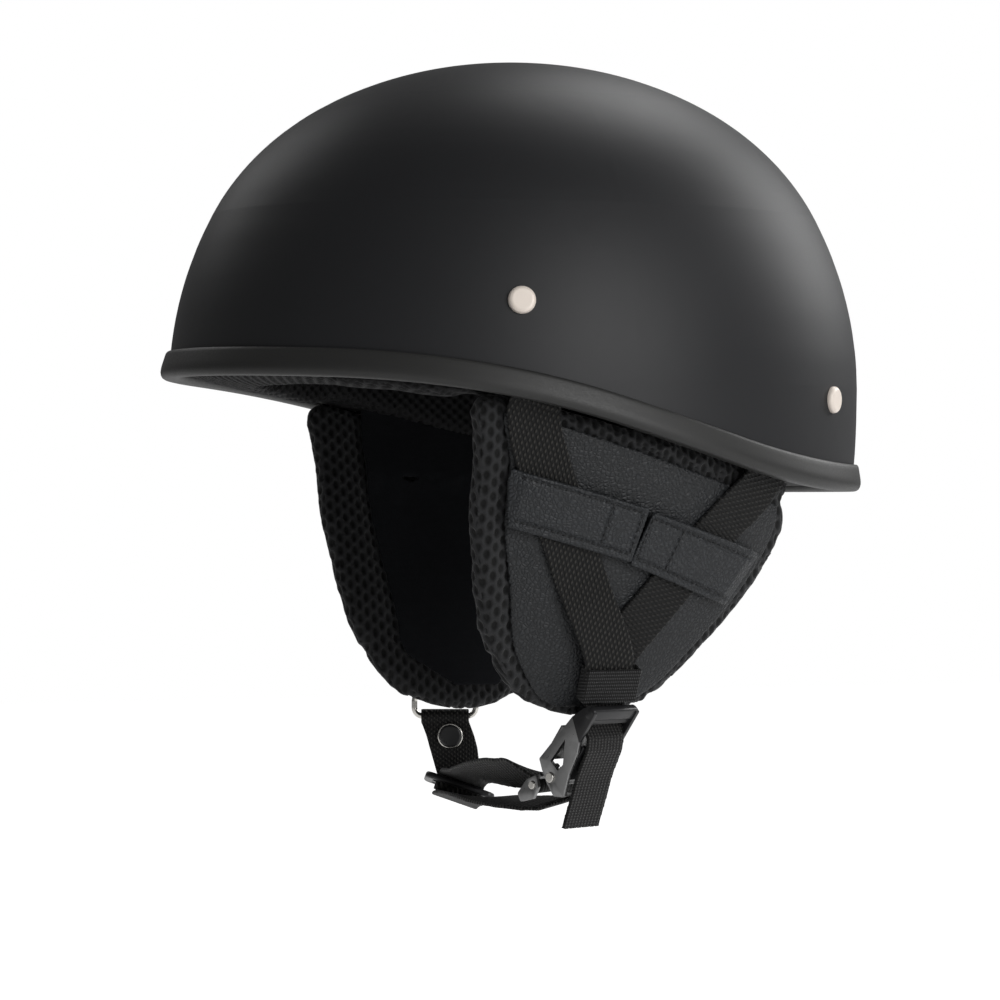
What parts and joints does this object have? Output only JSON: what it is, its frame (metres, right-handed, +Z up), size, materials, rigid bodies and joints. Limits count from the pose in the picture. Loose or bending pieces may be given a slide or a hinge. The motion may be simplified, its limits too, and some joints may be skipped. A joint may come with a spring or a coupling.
{
  "type": "half shell motorcycle helmet",
  "caption": "Open-face half shell helmet with edge trim, padded ear flaps, riveted webbing, hook tabs and a buckled chin strap.",
  "frame": {"origin": "on the shell's vertical axis at the level of the brow, where the shell is widest", "axes": "+X towards the wearer's left, -Y towards the front, +Z up"},
  "size_m": [0.2326, 0.2867, 0.3039],
  "materials": {
    "shell_black": "matt lacquer over moulded plastic",
    "trim_rubber": "satin",
    "rivet_steel": "satin",
    "washer_steel": "plain",
    "foam_black": "moulded bead foam",
    "lining_cloth": "brushed cloth",
    "band_mesh": "spacer mesh",
    "flap_mesh": "spacer mesh over padding",
    "flap_leather": "grained imitation leather",
    "flap_velour": "brushed cloth",
    "webbing_black": "woven ribbed webbing",
    "grip_cloth": "hook and loop cloth",
    "keeper_band": "finely ribbed woven band",
    "buckle_black": "black coated steel",
    "pin_steel": "satin",
    "spring_steel": "plain wire",
    "ring_steel": "bright nickel",
    "snap_steel": "black with a bright edge",
    "slider_plastic": "smooth black"
  },
  "bodies": {
    "helmet": {"shell": "shell_black", "edge_trim": "trim_rubber", "strap_rivets": "rivet_steel", "rivet_washers": "washer_steel", "eps_liner": "foam_black", "crown_liner": "lining_cloth", "headband": "band_mesh", "nape_pad": "band_mesh", "left_ear_flap": "flap_mesh", "right_ear_flap": "flap_mesh", "left_flap_face": "flap_leather", "right_flap_face": "flap_leather", "left_flap_lining": "flap_velour", "right_flap_lining": "flap_velour", "left_front_strap": "webbing_black", "right_front_strap": "webbing_black", "left_rear_strap": "webbing_black", "right_rear_strap": "webbing_black", "grip_patches": "grip_cloth", "left_strap_keeper": "keeper_band", "right_strap_keeper": "keeper_band", "buckle_housing": "buckle_black", "lever_pin": "pin_steel", "lever_spring": "spring_steel", "webbing_tail": "webbing_black", "ring_loop": "webbing_black"},
    "left_front_tab": {"left_front_tab": "flap_leather"},
    "left_rear_tab": {"left_rear_tab": "flap_leather"},
    "right_front_tab": {"right_front_tab": "flap_leather"},
    "right_rear_tab": {"right_rear_tab": "flap_leather"},
    "release_lever": {"release_lever": "buckle_black"},
    "strap_ring": {"strap_ring": "ring_steel"},
    "chin_strap": {"hanger_web": "webbing_black", "snap_button": "snap_steel", "tri_glide": "slider_plastic", "chin_strap": "webbing_black", "strap_free_end": "webbing_black", "buckle_tongue": "buckle_black", "tongue_pin": "pin_steel"}
  },
  "joints": [
    {"name": "left_front_tab_lift", "type": "hinge", "parent": "helmet", "child": "left_front_tab", "pos_m": [0.0896, -0.04451, -0.04544], "axis": [-0.2992, -0.1605, -0.9406], "range_deg": [0, 75]},
    {"name": "left_rear_tab_lift", "type": "hinge", "parent": "helmet", "child": "left_rear_tab", "pos_m": [0.0781, 0.06061, -0.07504], "axis": [0.1655, 0.3756, 0.9119], "range_deg": [0, 75]},
    {"name": "right_front_tab_lift", "type": "hinge", "parent": "helmet", "child": "right_front_tab", "pos_m": [-0.0896, -0.04451, -0.04544], "axis": [-0.2992, 0.1605, 0.9406], "range_deg": [0, 75]},
    {"name": "right_rear_tab_lift", "type": "hinge", "parent": "helmet", "child": "right_rear_tab", "pos_m": [-0.0781, 0.06061, -0.07504], "axis": [0.1655, -0.3756, -0.9119], "range_deg": [0, 75]},
    {"name": "lever_press", "type": "hinge", "parent": "helmet", "child": "release_lever", "pos_m": [0.05784, -0.0016, -0.15072], "axis": [0.3843, -0.9232, 0], "range_deg": [0, 12], "stiffness_Nm_per_rad": 0.3, "springref_deg": -5.73},
    {"name": "ring_swing", "type": "hinge", "parent": "helmet", "child": "strap_ring", "pos_m": [-0.0758, -0.0002, -0.1252], "axis": [0.3907, 0.9205, 0], "range_deg": [0, 15]},
    {"name": "chin_strap_swing", "type": "hinge", "parent": "strap_ring", "child": "chin_strap", "pos_m": [-0.0758, -0.0002, -0.1348], "axis": [0.3907, 0.9205, 0], "range_deg": [0, 60]}
  ]
}
